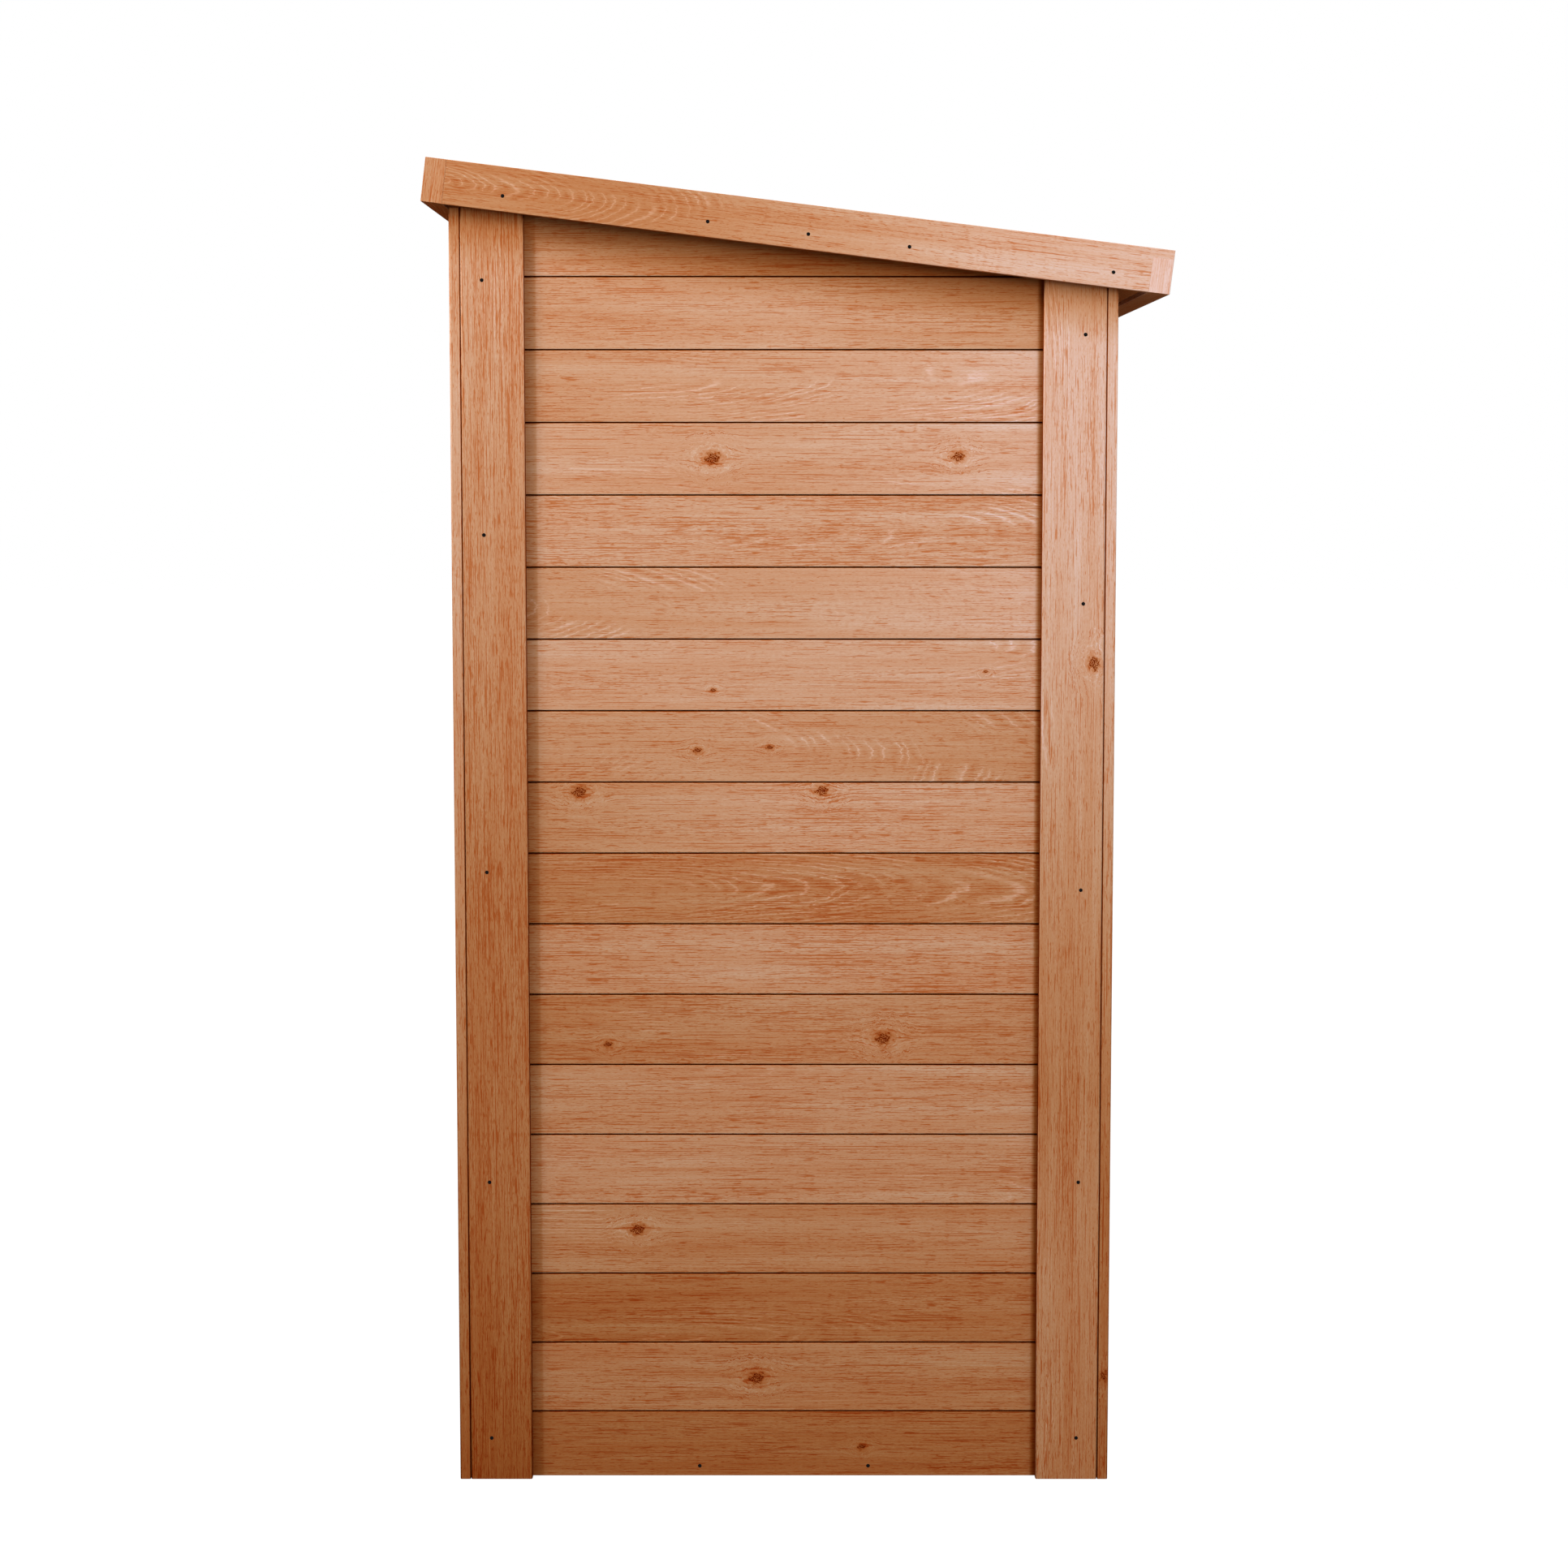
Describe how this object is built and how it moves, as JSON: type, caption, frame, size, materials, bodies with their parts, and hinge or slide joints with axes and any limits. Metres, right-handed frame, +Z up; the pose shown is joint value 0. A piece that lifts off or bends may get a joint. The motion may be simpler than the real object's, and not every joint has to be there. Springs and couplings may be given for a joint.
{
  "type": "pent-roof timber storage shed",
  "caption": "Narrow timber storage shed with a single-pitch roof, horizontal board cladding, corner trims, deep eaves timbers and a felted deck.",
  "frame": {"origin": "on the ground under the middle of the roof's outline", "axes": "+Z up; -Y is the front, a wall whose top slopes; -X is the tall side and +X the low side; the eaves run along Y"},
  "size_m": [1.238, 1.84, 2.2249],
  "materials": {
    "wall_boards": "red-brown stained softwood boards",
    "corner_trim": "red-brown stained planed softwood",
    "roof_trim": "red-brown stained planed softwood",
    "frame_timber": "planed softwood",
    "deck_boards": "sawn softwood boards",
    "felt": "mineral-surfaced bitumen felt"
  },
  "bodies": {
    "root": {"front_wall": "wall_boards", "back_wall": "wall_boards", "left_wall": "wall_boards", "right_wall": "wall_boards", "front_left_post": "frame_timber", "front_right_post": "frame_timber", "back_left_post": "frame_timber", "back_right_post": "frame_timber", "left_stud": "frame_timber", "right_stud": "frame_timber", "front_bottom_rail": "frame_timber", "back_bottom_rail": "frame_timber", "left_bottom_rail": "frame_timber", "right_bottom_rail": "frame_timber", "front_top_rail": "frame_timber", "back_top_rail": "frame_timber", "left_top_rail": "frame_timber", "right_top_rail": "frame_timber", "front_left_trim": "corner_trim", "front_right_trim": "corner_trim", "back_left_trim": "corner_trim", "back_right_trim": "corner_trim", "left_front_trim": "corner_trim", "left_back_trim": "corner_trim", "right_front_trim": "corner_trim", "right_back_trim": "corner_trim", "purlin_1": "frame_timber", "purlin_2": "frame_timber", "purlin_3": "frame_timber", "purlin_4": "frame_timber", "purlin_5": "frame_timber", "eave_beam": "roof_trim", "high_fascia": "roof_trim", "low_fascia": "roof_trim", "front_fascia": "roof_trim", "back_fascia": "roof_trim", "roof_deck": "deck_boards", "roof_felt": "felt"}
  },
  "joints": []
}
